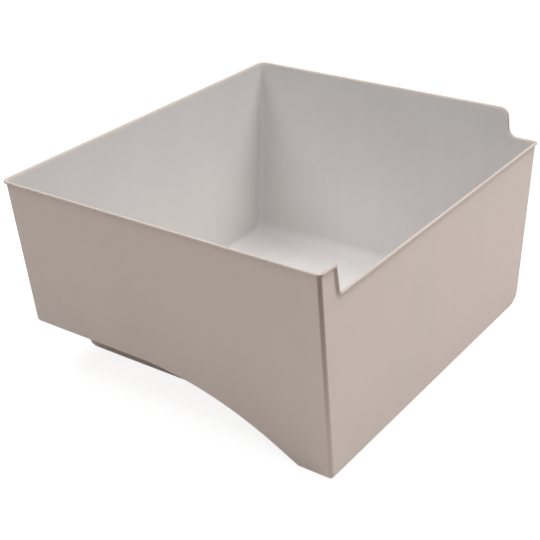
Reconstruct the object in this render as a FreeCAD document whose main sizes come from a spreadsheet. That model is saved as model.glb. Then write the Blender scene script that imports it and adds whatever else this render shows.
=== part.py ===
import FreeCAD, Part
import math
import os
import re

import Sketcher
from FreeCAD import Placement, Rotation, Vector

# Fridge crisper drawer: one injection-moulded bin whose left side is raised into a shelf.
# x runs across the width, y from the front (minus) to the rear (plus), z up from the underside of the floor.
# Sizes are in millimetres and degrees.
SIZES = {
    # rim and walls
    "rim_width": 530,
    "rim_depth": 452,
    "height": 269,
    "wall": 2.8,
    "side_draft": 5,
    "end_draft": 0.5,
    "outer_radius": 5,
    "rear_corner_radius": 9,
    "right_floor_radius": 20,
    # lip around the rim
    "lip_reach": 2.5,
    "lip_height": 3,
    "lip_top_radius": 1,
    "lip_under_radius": 1,
    "rim_inner_radius": 3.5,
    # lowered front rim, with a step at each end of it
    "front_drop": 37,
    "left_step_inset": 38,
    "left_step_lean": 10,
    "left_step_low_radius": 6,
    "left_step_top_radius": 3,
    "right_step_inset": 42,
    "right_step_lean": 8,
    "right_step_low_radius": 13,
    "right_step_top_radius": 13,
    # recess under the left side, which makes the raised shelf
    "shelf_height": 70,
    "recess_inset": 93,
    "recess_lean": 3,
    "recess_roof_radius": 6,
    "arch_angle": 30,
    "arch_radius": 400,
    "foot_length": 51,
    "recess_cut_width": 13,
    "recess_cut_length": 24,
    "recess_cut_radius": 25,
    # shallow drip groove across the floor
    "groove_inset": 347,
    "groove_width": 43,
    "groove_depth": 1.2,
    "groove_near_slope": 5,
    "groove_far_slope": 16,
    "groove_end_gap": 8,
    "groove_end_slope": 15,
}
# How far an edge may lie from the place it is looked for, and the least angle that counts as sharp
NEAR = 0.7
SHARP_ANGLE = 10
# Share of a straight line that the roundings at its ends may take up
ARCH_SHARE = 0.95
STEP_SHARE = 0.48

doc = FreeCAD.newDocument("crisper_drawer")
sheet = doc.addObject("Spreadsheet::Sheet", "sizes")
for row, (name, size) in enumerate(SIZES.items(), 1):
    sheet.set(f"A{row}", name)
    sheet.set(f"B{row}", str(size))
    sheet.setAlias(f"B{row}", name)
doc.recompute()


def on_sheet(formula):
    """The formula with each size name pointing at its cell."""
    return re.sub(r"[a-z_]+", lambda word: "sizes." + word[0] if word[0] in SIZES else word[0], formula)


def value(formula):
    """The number a formula comes to now."""
    return float(sheet.evalExpression(on_sheet(formula)))


def bind(target, prop, formula):
    """Tie a property to the sheet."""
    target.setExpression(prop, on_sheet(formula))


def rounded(corner, before, after, radius):
    """Tangent points and arc centre of a corner rounded to the radius."""
    to_before = (before - corner).normalize()
    to_after = (after - corner).normalize()
    half_angle = to_before.getAngle(to_after) / 2
    reach = radius / math.tan(half_angle)
    centre = corner + (to_before + to_after).normalize() * (radius / math.sin(half_angle))
    return corner + to_before * reach, corner + to_after * reach, centre


def arc_between(first, last, centre):
    """The shorter arc, and whether it runs from first to last."""
    turn = (first - centre).cross(last - centre).z
    begin, end = (first, last) if turn > 0 else (last, first)
    angles = [math.atan2(point.y - centre.y, point.x - centre.x) for point in (begin, end)]
    circle = Part.Circle(centre, Vector(0, 0, 1), (first - centre).Length)
    return Part.ArcOfCircle(circle, angles[0], angles[1]), turn > 0


def draw(sketch, corners):
    """Draw a closed outline through (across, up, radius) formulas; a corner without a radius is sharp."""
    points = [Vector(value(corner[0]), value(corner[1]), 0) for corner in corners]
    count = len(points)
    starts, ends, centres = list(points), list(points), {}
    for i, corner in enumerate(corners):
        if len(corner) == 3:
            found = rounded(points[i], points[i - 1], points[(i + 1) % count], value(corner[2]))
            ends[i - 1], starts[i], centres[i] = found
        else:
            ends[i - 1] = points[i]
    lines = [sketch.addGeometry(Part.LineSegment(starts[i], ends[i])) for i in range(count)]
    for i, corner in enumerate(corners):
        before, after = lines[i - 1], lines[i]
        held = after
        if len(corner) == 3:
            arc, forward = arc_between(ends[i - 1], starts[i], centres[i])
            arc_id = sketch.addGeometry(arc)
            held = sketch.addGeometry(Part.Point(points[i]), True)
            arc_start, arc_end = (1, 2) if forward else (2, 1)
            sketch.addConstraint(Sketcher.Constraint("Tangent", before, 2, arc_id, arc_start))
            sketch.addConstraint(Sketcher.Constraint("Tangent", arc_id, arc_end, after, 1))
            sketch.addConstraint(Sketcher.Constraint("PointOnObject", held, 1, before))
            sketch.addConstraint(Sketcher.Constraint("PointOnObject", held, 1, after))
            size = sketch.addConstraint(Sketcher.Constraint("Radius", arc_id, value(corner[2])))
            bind(sketch, f"Constraints[{size}]", corner[2])
        else:
            sketch.addConstraint(Sketcher.Constraint("Coincident", before, 2, after, 1))
        for kind, formula in (("DistanceX", corner[0]), ("DistanceY", corner[1])):
            size = sketch.addConstraint(Sketcher.Constraint(kind, -1, 1, held, 1, value(formula)))
            bind(sketch, f"Constraints[{size}]", formula)


def sketch_on(body, name, plane, outlines, offset="0"):
    """Closed outlines on one of the body's own planes, moved along that plane's normal."""
    sketch = body.newObject("Sketcher::SketchObject", name)
    support = [feature for feature in body.Origin.OriginFeatures if feature.Role == plane][0]
    sketch.AttachmentSupport = [(support, "")]
    sketch.MapMode = "FlatFace"
    bind(sketch, "AttachmentOffset.Base.z", offset)
    for corners in outlines:
        draw(sketch, corners)
    doc.recompute()
    return sketch


def prism(name, plane, corners, offset, length):
    """A body made of one outline padded along its plane's normal."""
    body = doc.addObject("PartDesign::Body", name)
    sketch = sketch_on(body, name + "_outline", plane, [corners], offset)
    pad = body.newObject("PartDesign::Pad", name + "_pad")
    pad.Profile = sketch
    bind(pad, "Length", length)
    doc.recompute()
    return body


def names_of(kind, items, test):
    """Names of the faces or edges that pass the test."""
    return [f"{kind}{i}" for i, item in enumerate(items, 1) if test(item)]


def top_faces(shape):
    """Names of the flat faces at the highest level."""
    top = value("height") - NEAR
    return names_of("Face", shape.Faces, lambda face: face.BoundBox.ZMin > top)


def edges_near(shape, low, high):
    """Names of the edges that lie inside a box, whose None limits are open."""
    def inside(edge):
        box = edge.BoundBox
        spans = ((box.XMin, box.XMax), (box.YMin, box.YMax), (box.ZMin, box.ZMax))
        above = all(limit is None or span[0] > limit for span, limit in zip(spans, low))
        below = all(limit is None or span[1] < limit for span, limit in zip(spans, high))
        return above and below
    return names_of("Edge", shape.Edges, inside)


def upright_edges(shape, least_height, side):
    """Names of the upright edges over a height, at the rear for side 1 and at the front for side -1."""
    def fits(edge):
        return edge.BoundBox.ZLength > value(least_height) and side * edge.BoundBox.Center.y > NEAR
    return names_of("Edge", shape.Edges, fits)


def is_sharp(shape, edge):
    """Whether the two faces at an edge meet at an angle."""
    middle = edge.valueAt((edge.FirstParameter + edge.LastParameter) / 2)
    faces = shape.ancestorsOfType(edge, Part.Face)
    normals = [face.normalAt(*face.Surface.parameter(middle)) for face in faces]
    return len(normals) == 2 and normals[0].getAngle(normals[1]) > math.radians(SHARP_ANGLE)


def fillet(body, name, edges, radius):
    """Round the named edges of the body as it is so far."""
    feature = body.newObject("PartDesign::Fillet", name)
    feature.Base = (feature.BaseFeature, edges)
    bind(feature, "Radius", radius)
    doc.recompute()
    return feature


def pocket(body, name, sketch, length, symmetric):
    """Cut an outline out of the body, away from the sketch's normal or to both sides of it."""
    feature = body.newObject("PartDesign::Pocket", name)
    feature.Profile = sketch
    if symmetric:
        feature.SideType = "Symmetric"
    bind(feature, "Length", length)
    doc.recompute()
    return feature


def drafted_block(name, half_width, half_depth, bottom):
    """A body with leaning sides and ends, full size at the rim."""
    body = doc.addObject("PartDesign::Body", name)
    rise = f"(height - ({bottom}))"
    low_half = f"({half_width} - {rise} * tan(side_draft))"
    section = [
        (f"-({half_width})", "height"),
        (f"-{low_half}", bottom),
        (low_half, bottom),
        (half_width, "height"),
    ]
    sketch = sketch_on(body, name + "_section", "XZ_Plane", [section])
    pad = body.newObject("PartDesign::Pad", name + "_pad")
    pad.Profile = sketch
    pad.SideType = "Symmetric"
    bind(pad, "Length", f"2 * ({half_depth})")
    wedges = []
    for sign in ("-", ""):
        wedges.append([
            (f"{sign}({half_depth})", "height"),
            (f"{sign}({half_depth} - {rise} * tan(end_draft))", bottom),
            (f"{sign}({half_depth} + wall)", bottom),
            (f"{sign}({half_depth} + wall)", "height"),
        ])
    sketch = sketch_on(body, name + "_end_wedges", "YZ_Plane", wedges)
    pocket(body, name + "_end_draft", sketch, f"2 * ({half_width})", True)
    return body


outer = drafted_block("outer_form", "rim_width / 2 - lip_reach", "rim_depth / 2 - lip_reach", "0")
right_floor_edge = edges_near(outer.Shape, (value("rim_width / 4"), None, -NEAR), (None, None, NEAR))
fillet(outer, "right_floor_rounding", right_floor_edge, "right_floor_radius")

# Recess under the left side: flat roof, long arch down to the foot, and a leaning wall beside the deep floor
recess_x = "recess_inset - rim_width / 2"
roof = "shelf_height / cos(recess_lean)"
slant = "shelf_height / tan(arch_angle)"
arch_limit = f"{ARCH_SHARE} * shelf_height / (sin(arch_angle) * tan(arch_angle / 2))"
foot_end = "(foot_length - rim_depth / 2)"
recess_outline = [
    ("rim_depth", roof),
    (f"{foot_end} + {slant}", roof, f"min(arch_radius; {arch_limit})"),
    (foot_end, "0"),
    (f"{foot_end} - {slant}", f"-{roof}"),
    ("rim_depth", f"-{roof}"),
]
recess_sketch = sketch_on(outer, "recess_outline", "YZ_Plane", [recess_outline], recess_x)
recess_sketch.AttachmentOffset = Placement(Vector(), Rotation(Vector(-1, 0, 0), value("recess_lean")))
bind(recess_sketch, "AttachmentOffset.Base.z", recess_x)
bind(recess_sketch, "AttachmentOffset.Rotation.Angle", "recess_lean")
doc.recompute()
recess = pocket(outer, "recess", recess_sketch, "recess_inset", False)
recess.UseCustomVector = True
recess.Direction = Vector(-1, 0, 0)
doc.recompute()

# The deep part's rear corner beside the recess is cut off at a slant
rear_y = "(rim_depth / 2 - lip_reach)"
slant_cut = [
    (f"{recess_x} - recess_cut_width", f"{rear_y} - 2 * recess_cut_length"),
    (f"{recess_x} + 2 * recess_cut_width", f"{rear_y} + recess_cut_length"),
    (f"{recess_x} - recess_cut_width", f"{rear_y} + recess_cut_length"),
]
slant_sketch = sketch_on(outer, "recess_slant_outline", "XY_Plane", [slant_cut], "shelf_height")
pocket(outer, "recess_slant", slant_sketch, "shelf_height", False)

wall_low = value(recess_x)
wall_high = value(f"{recess_x} - shelf_height * tan(recess_lean)")
kink_low = (wall_high - NEAR, value(f"{rear_y} - 2 * recess_cut_length"), -NEAR)
kink_high = (wall_low + NEAR, value(rear_y) - NEAR, value("shelf_height") + NEAR)
fillet(outer, "recess_slant_rounding", edges_near(outer.Shape, kink_low, kink_high), "recess_cut_radius")
arch_edge = edges_near(outer.Shape, (wall_high - NEAR, None, NEAR),
                       (wall_low + NEAR, value("rim_depth / 4"), None))
fillet(outer, "recess_roof_rounding", arch_edge, "recess_roof_radius")

rim_level = value("height") - NEAR
fillet(outer, "rear_corner_rounding", upright_edges(outer.Shape, "height / 2", 1), "rear_corner_radius")
outer_edges = [
    name for name in names_of("Edge", outer.Shape.Edges, lambda edge: edge.BoundBox.ZMin < rim_level)
    if is_sharp(outer.Shape, outer.Shape.getElement(name))
]
fillet(outer, "outer_rounding", outer_edges, "outer_radius")

# Shell open at the top
shell = doc.addObject("Part::Thickness", "shell")
shell.Faces = (outer, top_faces(outer.Shape))
bind(shell, "Value", "-wall")
doc.recompute()

# Lip that follows the stepped rim
low = "(height - front_drop)"
zone = "(lip_reach + wall + outer_radius + front_drop * tan(side_draft))"
left_low_x = "(left_step_inset - rim_width / 2)"
left_run = "front_drop * tan(left_step_lean)"
left_lip_x = f"({left_low_x} + lip_height * (tan(left_step_lean) - 1 / cos(left_step_lean)))"
right_low_y = "(right_step_inset - rim_depth / 2)"
right_run = "front_drop * tan(right_step_lean)"
right_limit = f"{STEP_SHARE} * front_drop / (cos(right_step_lean) * tan(45 - right_step_lean / 2))"
right_low_radius = f"min(right_step_low_radius; {right_limit})"
right_top_radius = f"min(right_step_top_radius; {right_limit})"
right_lip_y = f"({right_low_y} + lip_height * (1 / cos(right_step_lean) - tan(right_step_lean)))"


def front_profile(step_x, drop, low_radius, top):
    """Region of the front wall above the stepped rim line, lowered by the drop."""
    return [
        ("-rim_width", f"height - {drop}"),
        (f"{step_x} - {left_run}", f"height - {drop}", "left_step_top_radius"),
        (step_x, f"{low} - {drop}", low_radius),
        ("rim_width", f"{low} - {drop}"),
        ("rim_width", top),
        ("-rim_width", top),
    ]


def side_profile(step_y, drop, low_radius, top_radius, top):
    """Region of the right wall above its stepped rim line, lowered by the drop."""
    return [
        ("-rim_depth", f"{low} - {drop}"),
        (step_y, f"{low} - {drop}", low_radius),
        (f"{step_y} + {right_run}", f"height - {drop}", top_radius),
        ("rim_depth", f"height - {drop}"),
        ("rim_depth", top),
        ("-rim_depth", top),
    ]


front_start = f"rim_depth / 2 - {zone}"
side_start = f"rim_width / 2 - {zone}"
front_band = prism("front_band", "XZ_Plane",
                   front_profile(left_lip_x, "lip_height", "left_step_low_radius + lip_height", "height"),
                   front_start, f"2 * {zone}")
side_band = prism("side_band", "YZ_Plane",
                  side_profile(right_lip_y, "lip_height", f"{right_low_radius} + lip_height",
                               f"{right_top_radius} - lip_height", "height"),
                  side_start, f"2 * {zone}")
front_notch = prism("front_notch", "XZ_Plane",
                    front_profile(left_low_x, "0", "left_step_low_radius", "height + front_drop"),
                    front_start, f"2 * {zone}")
side_notch = prism("side_notch", "YZ_Plane",
                   side_profile(right_low_y, "0", right_low_radius, right_top_radius,
                                "height + front_drop"),
                   side_start, f"2 * {zone}")
top_band = doc.addObject("Part::Box", "top_band")
bind(top_band, "Length", "2 * rim_width")
bind(top_band, "Width", "2 * rim_depth")
bind(top_band, "Height", "lip_height")
bind(top_band, "Placement.Base.x", "-rim_width")
bind(top_band, "Placement.Base.y", "-rim_depth")
bind(top_band, "Placement.Base.z", "height - lip_height")


def combine(kind, name, base, tool):
    """A boolean of two solids."""
    result = doc.addObject("Part::" + kind, name)
    result.Base = base
    result.Tool = tool
    result.Refine = True
    doc.recompute()
    return result


lip_form = drafted_block("lip_form", "rim_width / 2", "rim_depth / 2", f"{low} - 2 * lip_height")
rear_lip_corners = upright_edges(lip_form.Shape, "front_drop", 1)
fillet(lip_form, "lip_rear_corner_rounding", rear_lip_corners, "rear_corner_radius + lip_reach")
front_lip_corners = upright_edges(lip_form.Shape, "front_drop", -1)
fillet(lip_form, "lip_front_corner_rounding", front_lip_corners, "outer_radius + lip_reach")
lip_ring = combine("Cut", "lip_ring", lip_form, outer)
rim_bands = combine("Fuse", "front_and_side_band", front_band, side_band)
rim_bands = combine("Fuse", "rim_bands", rim_bands, top_band)
lip = combine("Common", "lip", lip_ring, rim_bands)
bin_with_lip = combine("Fuse", "bin_with_lip", shell, lip)
bin_low_front = combine("Cut", "bin_low_front", bin_with_lip, front_notch)
bin_low_side = combine("Cut", "bin_low_side", bin_low_front, side_notch)

# Drip groove across the deep floor
groove_y = "(groove_inset - rim_depth / 2)"
groove_floor = "wall - groove_depth"
groove_left = f"{recess_x} + wall + groove_end_gap"
groove_right = "rim_width / 2 - lip_reach - height * tan(side_draft) - right_floor_radius - groove_end_gap"
groove_outline = [
    (groove_y, "wall"),
    (f"{groove_y} + groove_near_slope", groove_floor),
    (f"{groove_y} + groove_width - groove_far_slope", groove_floor),
    (f"{groove_y} + groove_width", "wall"),
    (f"{groove_y} + groove_width", "2 * wall"),
    (groove_y, "2 * wall"),
]
groove_run = prism("groove_run", "YZ_Plane", groove_outline,
                   groove_left, f"{groove_right} - ({groove_left})")
groove_ends = [
    (groove_left, "wall"),
    (f"{groove_left} + groove_end_slope", groove_floor),
    (f"{groove_right} - groove_end_slope", groove_floor),
    (groove_right, "wall"),
    (groove_right, "2 * wall"),
    (groove_left, "2 * wall"),
]
groove_ramps = prism("groove_ramps", "XZ_Plane", groove_ends, "-rim_depth / 2", "rim_depth")
groove = combine("Common", "groove", groove_run, groove_ramps)
bin_grooved = combine("Cut", "bin_grooved", bin_low_side, groove)

# Finished bin: the rim's sharp edges are rounded
drawer = doc.addObject("PartDesign::Body", "crisper_drawer")
drawer.Label = "crisper_drawer"
drawer.BaseFeature = bin_grooved
doc.recompute()


def rear_rim_edge(y, z):
    """Name of the long edge of the rear rim at this depth and height; rounding it runs on around the rim."""
    depth, level = value(y), value(z)
    return edges_near(drawer.Shape, (None, depth - NEAR, level - NEAR), (None, depth + NEAR, level + NEAR))


lip_under_y = "rim_depth / 2 - lip_height * tan(end_draft)"
rim_inner_y = "rim_depth / 2 - lip_reach - wall"
fillet(drawer, "lip_under_rounding", rear_rim_edge(lip_under_y, "height - lip_height"), "lip_under_radius")
fillet(drawer, "lip_top_rounding", rear_rim_edge("rim_depth / 2", "height"), "lip_top_radius")
fillet(drawer, "rim_inner_rounding", rear_rim_edge(rim_inner_y, "height"), "rim_inner_radius")

for item in doc.Objects:
    if "Invalid" in item.State or "Error" in item.State:
        raise RuntimeError(f"{item.Name} did not build")
if drawer.Shape.isNull() or not drawer.Shape.isValid() or len(drawer.Shape.Solids) != 1:
    raise RuntimeError("the drawer is not one sound solid")
os.makedirs("parts", exist_ok=True)
drawer.Shape.exportStep("parts/crisper_drawer.step")
print("crisper_drawer", len(drawer.Shape.Faces), "faces", round(drawer.Shape.Volume / 1000), "cm3")
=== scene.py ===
import math

import bpy
from mathutils import Matrix, Vector

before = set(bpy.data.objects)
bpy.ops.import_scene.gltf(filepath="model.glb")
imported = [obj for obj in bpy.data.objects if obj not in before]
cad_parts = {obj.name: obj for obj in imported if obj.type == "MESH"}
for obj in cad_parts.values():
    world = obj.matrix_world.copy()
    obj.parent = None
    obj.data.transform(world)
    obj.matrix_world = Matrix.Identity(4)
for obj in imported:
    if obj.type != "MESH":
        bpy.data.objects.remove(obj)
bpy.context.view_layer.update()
scene = bpy.context.scene
scene.view_settings.view_transform = "Standard"

# Camera, matched to the photograph: metres, degrees, and a focal length in pixels of a 540 x 540 image
CAMERA_PLACE = Vector((-1.09157, -0.77246, 0.79935))
CAMERA_AZIMUTH = -53.705
CAMERA_ELEVATION = 27.774
CAMERA_ROLL = 2.009
FOCAL_PIXELS = 1151.39
IMAGE_PIXELS = 540
SENSOR_MM = 36.0
CLIP_NEAR = 0.01
CLIP_FAR = 50.0

# Studio: the floor lies a hair below the drawer, so that the two don't share a plane
FLOOR_COLOUR = (0.80, 0.74, 0.68, 1.0)
FLOOR_SHADE = (0.3, 0.3, 0.3, 1.0)
FLOOR_GLOW = 0.86
FLOOR_SIZE = 5.0
FLOOR_GAP = 0.0003
WHITE = (1.0, 1.0, 1.0, 1.0)

# Lamps: name, place in metres, side length in metres, power in watts, colour
LAMPS = (
    ("right_panel", (1.0, -1.25, 2.87), 1.6, 76.0, (1.0, 1.0, 0.99)),
    ("left_panel", (-1.14, 1.13, 2.87), 1.6, 36.0, (0.95, 0.97, 1.0)),
    ("rear_panel", (1.97, 1.39, 2.2), 1.6, 26.0, (1.0, 1.0, 1.0)),
    ("camera_fill", (-2.2, -1.55, 2.0), 1.6, 15.0, (1.0, 1.0, 1.0)),
    ("overhead", (0.0, 0.0, 1.2), 0.5, 1.8, (1.0, 1.0, 1.0)),
)
LAMP_TARGET = Vector((0.0, 0.0, 0.15))

# Plastic: one colour with painted light in it: the outside is painted warmer, for warm light bounced
# from below, and the inside cooler, for cool light from above
OUTSIDE_COLOUR_WARM_LIT = (0.70, 0.612, 0.575, 1.0)
INSIDE_COLOUR_COOL_LIT = (0.688, 0.663, 0.650, 1.0)
MIDDLE = (0.0, 0.0, 0.13)
SIDE_BLEND = 0.004
GLOSS = 0.35

# Noise patterns: scales are per metre, spreads are the stretch of the noise values in use
CLOUD_SCALE = 7.0
CLOUD_SPREAD = (0.3, 0.7)
CLOUD_LIGHT = (0.975, 1.025)
CLOUD_ROUGHNESS = (0.44, 0.54)
STREAK_SCALE = 70.0
STREAK_STRETCH = (1.0, 1.0, 0.04)
STREAK_SPREAD = (0.25, 0.75)
STREAK_LIGHT = (0.993, 1.007)
GRAIN_SCALE = 900.0
GRAIN_SPREAD = (0.2, 0.8)
GRAIN_LIGHT = (0.975, 1.025)
GRAIN_ROUGHNESS = (0.0, 0.05)
RUB_SCALE = 45.0
RUB_SPREAD = (0.25, 0.6)
BUMP_STRENGTH = 0.25
BUMP_DISTANCE = 0.0002
RIPPLE_SHARE = 0.6

# Rubbed edges: where the softened normal turns away from the true one
EDGE_WIDTH = 0.0025
EDGE_SAMPLES = 6
EDGE_TURN = (0.985, 0.8)
WORN_LIGHT = 0.88
WORN_DULLING = 0.12

# Painted shade down the upright outer corners, from the foot to the rim
CORNER_SHADE_COLOUR = (0.30, 0.235, 0.205, 1.0)
CORNER_SHADE_TURN = (0.05, 0.45)
CORNER_SHADE_HEIGHTS = (0.0, 0.27)
CORNER_SHADE_SHARES = (0.18, 0.93)

# Painted shade on the rim: faces that look up, above any floor, are darkened against the light from
# above
RIM_SHADE_COLOUR = (0.50, 0.432, 0.385, 1.0)
RIM_SHADE_TILT = (0.15, 0.6)
RIM_SHADE_LEVEL = (0.19, 0.21)

# Painted shade in crevices and under the lip
CREVICE_SHADE_REACH = 0.006
CREVICE_SHADE_SAMPLES = 8
CREVICE_SHADE_SPREAD = (0.4, 0.95)
CREVICE_SHADE_LIGHT = (0.70, 1.0)


def camera_axes():
    """Right, up and backward directions of the camera."""
    azimuth = math.radians(CAMERA_AZIMUTH)
    elevation = math.radians(CAMERA_ELEVATION)
    roll = math.radians(CAMERA_ROLL)
    forward = Vector((
        -math.sin(azimuth) * math.cos(elevation),
        math.cos(azimuth) * math.cos(elevation),
        -math.sin(elevation),
    ))
    level = Vector((math.cos(azimuth), math.sin(azimuth), 0.0))
    plumb = forward.cross(level)
    right = level * math.cos(roll) + plumb * math.sin(roll)
    down = plumb * math.cos(roll) - level * math.sin(roll)
    return right, -down, -forward


def add_camera():
    """The one camera, at the photograph's viewing angle."""
    data = bpy.data.cameras.new("camera")
    data.sensor_fit = "HORIZONTAL"
    data.sensor_width = SENSOR_MM
    data.lens = FOCAL_PIXELS / IMAGE_PIXELS * SENSOR_MM
    data.clip_start = CLIP_NEAR
    data.clip_end = CLIP_FAR
    camera = bpy.data.objects.new("camera", data)
    scene.collection.objects.link(camera)
    turn = Matrix(camera_axes()).transposed().to_4x4()
    camera.matrix_world = Matrix.Translation(CAMERA_PLACE) @ turn
    scene.camera = camera


def add_lamp(name, place, size, watts, colour):
    """A soft square lamp that faces the drawer."""
    data = bpy.data.lights.new(name, "AREA")
    data.shape = "SQUARE"
    data.size = size
    data.energy = watts
    data.color = colour
    lamp = bpy.data.objects.new(name, data)
    scene.collection.objects.link(lamp)
    lamp.location = place
    lamp.rotation_euler = (LAMP_TARGET - Vector(place)).to_track_quat("-Z", "Y").to_euler()


class Tree:
    """Short ways to add and join the nodes of one node tree."""

    def __init__(self, owner):
        owner.use_nodes = True
        self.tree = owner.node_tree
        self.tree.nodes.clear()

    def node(self, kind, **settings):
        """A new node with its settings."""
        made = self.tree.nodes.new(kind)
        for name, value in settings.items():
            setattr(made, name, value)
        return made

    def put(self, socket, value):
        """Link a socket to another node's output, or set it to a constant."""
        if isinstance(value, bpy.types.NodeSocket):
            self.tree.links.new(value, socket)
        else:
            socket.default_value = value

    def math(self, operation, first, second=0.0):
        """One sum on numbers."""
        made = self.node("ShaderNodeMath", operation=operation)
        self.put(made.inputs[0], first)
        self.put(made.inputs[1], second)
        return made.outputs[0]

    def product(self, first, *others):
        """Two or more numbers multiplied."""
        result = first
        for other in others:
            result = self.math("MULTIPLY", result, other)
        return result

    def vector(self, operation, first, second, result="Vector"):
        """One sum on vectors."""
        made = self.node("ShaderNodeVectorMath", operation=operation)
        self.put(made.inputs[0], first)
        self.put(made.inputs[1], second)
        return made.outputs[result]

    def split(self, vector):
        """The X, Y and Z outputs of a vector."""
        made = self.node("ShaderNodeSeparateXYZ")
        self.put(made.inputs["Vector"], vector)
        return made.outputs

    def ramp(self, value, spread, result=(0.0, 1.0)):
        """A value moved smoothly from one range to another."""
        made = self.node("ShaderNodeMapRange", interpolation_type="SMOOTHSTEP")
        for name, number in zip(("From Min", "From Max", "To Min", "To Max"), (*spread, *result)):
            made.inputs[name].default_value = number
        self.put(made.inputs["Value"], value)
        return made.outputs["Result"]

    def noise(self, place, scale, detail, stretch=(1.0, 1.0, 1.0)):
        """A noise pattern with a size per metre, drawn out along an axis by a small stretch number."""
        made = self.node("ShaderNodeTexNoise")
        made.inputs["Scale"].default_value = scale
        made.inputs["Detail"].default_value = detail
        self.put(made.inputs["Vector"], self.vector("MULTIPLY", place, stretch))
        return made.outputs["Fac"]

    def blend(self, factor, first, second, kind="MIX"):
        """Two colours mixed by a factor."""
        made = self.node("ShaderNodeMix", data_type="RGBA", blend_type=kind)
        self.put(made.inputs["Factor"], factor)
        self.put(made.inputs["A"], first)
        self.put(made.inputs["B"], second)
        return made.outputs["Result"]

    def grey(self, value):
        """A number as a shade of grey."""
        made = self.node("ShaderNodeCombineColor")
        for channel in ("Red", "Green", "Blue"):
            self.put(made.inputs[channel], value)
        return made.outputs["Color"]

    def by_ray(self, shown, lighting):
        """A shader for what is seen, in gloss or through glass too, and another that lights the part."""
        path = self.node("ShaderNodeLightPath")
        direct = self.math("MAXIMUM", path.outputs["Is Camera Ray"], path.outputs["Is Glossy Ray"])
        seen = self.math("MAXIMUM", direct, path.outputs["Is Transmission Ray"])
        mix = self.node("ShaderNodeMixShader")
        self.put(mix.inputs["Fac"], seen)
        self.put(mix.inputs[1], lighting)
        self.put(mix.inputs[2], shown)
        return mix.outputs["Shader"]

    def shader(self, kind, **inputs):
        """A shader with constants on its own sockets."""
        made = self.node(kind)
        for name, value in inputs.items():
            made.inputs[name].default_value = value
        return made.outputs[0]

    def finish(self, kind, shader):
        """The output node that ends the tree."""
        self.put(self.node(kind).inputs["Surface"], shader)


def add_floor():
    """A pale floor that shows white and keeps a soft shadow."""
    bpy.ops.mesh.primitive_plane_add(size=FLOOR_SIZE)
    floor = bpy.context.object
    floor.name = "floor"
    floor.location.z = -FLOOR_GAP
    material = bpy.data.materials.new("floor_pale")
    tree = Tree(material)
    lighting = tree.shader("ShaderNodeBsdfDiffuse", Color=FLOOR_COLOUR)
    shown = tree.node("ShaderNodeAddShader")
    tree.put(shown.inputs[0], tree.shader("ShaderNodeBsdfDiffuse", Color=FLOOR_SHADE))
    tree.put(shown.inputs[1], tree.shader("ShaderNodeEmission", Strength=FLOOR_GLOW))
    tree.finish("ShaderNodeOutputMaterial", tree.by_ray(shown.outputs[0], lighting))
    floor.data.materials.append(material)


def add_world():
    """A white backdrop that gives no light of its own."""
    world = bpy.data.worlds.new("studio")
    scene.world = world
    tree = Tree(world)
    lighting = tree.shader("ShaderNodeBackground", Strength=0.0)
    shown = tree.shader("ShaderNodeBackground", Color=WHITE)
    tree.finish("ShaderNodeOutputWorld", tree.by_ray(shown, lighting))


def outside_mask(tree, place, facing):
    """1 on faces that look away from the middle of the bin and 0 on the inside."""
    from_middle = tree.vector("SUBTRACT", place, MIDDLE)
    outward = tree.vector("DOT_PRODUCT", from_middle, facing, "Value")
    return tree.ramp(outward, (-SIDE_BLEND, SIDE_BLEND))


def worn_mask(tree, place, facing):
    """Rubbed patches along the edges."""
    bevel = tree.node("ShaderNodeBevel", samples=EDGE_SAMPLES)
    bevel.inputs["Radius"].default_value = EDGE_WIDTH
    turn = tree.vector("DOT_PRODUCT", bevel.outputs["Normal"], facing, "Value")
    rubs = tree.noise(place, RUB_SCALE, detail=4.0)
    return tree.product(tree.ramp(turn, EDGE_TURN), tree.ramp(rubs, RUB_SPREAD))


def corner_shade_mask(tree, place, facing, outside):
    """Painted shade on the upright outer corners, stronger towards the rim."""
    normal = tree.split(facing)
    turn = tree.math("ABSOLUTE", tree.product(normal["X"], normal["Y"]))
    share = tree.ramp(tree.split(place)["Z"], CORNER_SHADE_HEIGHTS, CORNER_SHADE_SHARES)
    return tree.product(tree.ramp(turn, CORNER_SHADE_TURN), outside, share)


def rim_shade_mask(tree, place, facing):
    """The upper side of the rim, where shade is painted."""
    tilt = tree.ramp(tree.split(facing)["Z"], RIM_SHADE_TILT)
    level = tree.ramp(tree.split(place)["Z"], RIM_SHADE_LEVEL)
    return tree.product(tilt, level)


def crevice_shade(tree):
    """The share of colour left where shade is painted into crevices and under the lip."""
    hollow = tree.node("ShaderNodeAmbientOcclusion", samples=CREVICE_SHADE_SAMPLES, only_local=True)
    hollow.inputs["Distance"].default_value = CREVICE_SHADE_REACH
    return tree.ramp(hollow.outputs["AO"], CREVICE_SHADE_SPREAD, CREVICE_SHADE_LIGHT)


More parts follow.
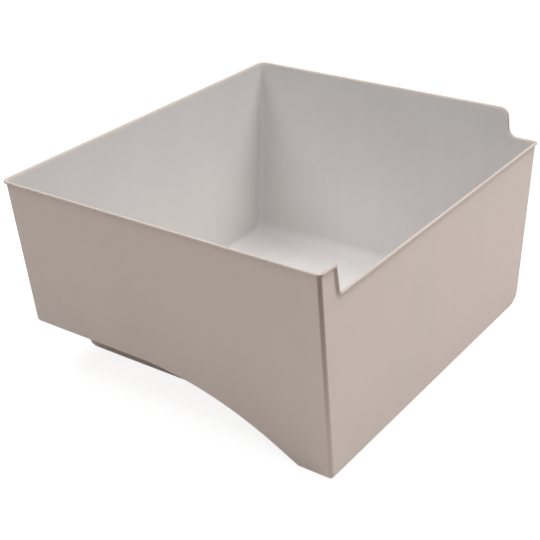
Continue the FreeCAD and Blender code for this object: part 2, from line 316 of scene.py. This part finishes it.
def bin_plastic():
    """Satin moulded plastic: grain, flow streaks, mottling and rubbed edges, with painted shade on the
    rim, corners and crevices and painted warm and cool light tints.
    """
    material = bpy.data.materials.new("moulded_plastic")
    tree = Tree(material)
    spot = tree.node("ShaderNodeTexCoord")
    place = spot.outputs["Object"]
    facing = spot.outputs["Normal"]
    clouds = tree.noise(place, CLOUD_SCALE, detail=3.0)
    streaks = tree.noise(place, STREAK_SCALE, detail=2.0, stretch=STREAK_STRETCH)
    grain = tree.noise(place, GRAIN_SCALE, detail=2.0)
    outside = outside_mask(tree, place, facing)
    worn = worn_mask(tree, place, facing)

    # Painted light: a warm tint outside and a cool tint inside
    colour = tree.blend(outside, INSIDE_COLOUR_COOL_LIT, OUTSIDE_COLOUR_WARM_LIT)
    # Painted shade on the upright outer corners
    colour = tree.blend(corner_shade_mask(tree, place, facing, outside), colour, CORNER_SHADE_COLOUR)
    # Painted shade on the rim tops
    colour = tree.blend(rim_shade_mask(tree, place, facing), colour, RIM_SHADE_COLOUR)
    light = tree.product(
        tree.ramp(clouds, CLOUD_SPREAD, CLOUD_LIGHT),
        tree.ramp(streaks, STREAK_SPREAD, STREAK_LIGHT),
        tree.ramp(grain, GRAIN_SPREAD, GRAIN_LIGHT),
        tree.ramp(worn, (0.0, 1.0), (1.0, WORN_LIGHT)),
        # Painted shade in crevices and under the lip
        crevice_shade(tree),
    )
    colour = tree.blend(1.0, colour, tree.grey(light), "MULTIPLY")

    rough = tree.ramp(clouds, CLOUD_SPREAD, CLOUD_ROUGHNESS)
    rough = tree.math("ADD", rough, tree.ramp(grain, GRAIN_SPREAD, GRAIN_ROUGHNESS))
    rough = tree.math("ADD", rough, tree.product(worn, WORN_DULLING))

    bump = tree.node("ShaderNodeBump")
    bump.inputs["Strength"].default_value = BUMP_STRENGTH
    bump.inputs["Distance"].default_value = BUMP_DISTANCE
    tree.put(bump.inputs["Height"], tree.math("ADD", grain, tree.product(clouds, RIPPLE_SHARE)))

    shader = tree.node("ShaderNodeBsdfPrincipled")
    tree.put(shader.inputs["Base Color"], colour)
    tree.put(shader.inputs["Roughness"], rough)
    tree.put(shader.inputs["Normal"], bump.outputs["Normal"])
    shader.inputs["Specular IOR Level"].default_value = GLOSS
    tree.finish("ShaderNodeOutputMaterial", shader.outputs[0])
    return material


add_camera()
add_floor()
add_world()
for lamp in LAMPS:
    add_lamp(*lamp)
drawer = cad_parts["crisper_drawer"]
drawer.data.materials.clear()
drawer.data.materials.append(bin_plastic())
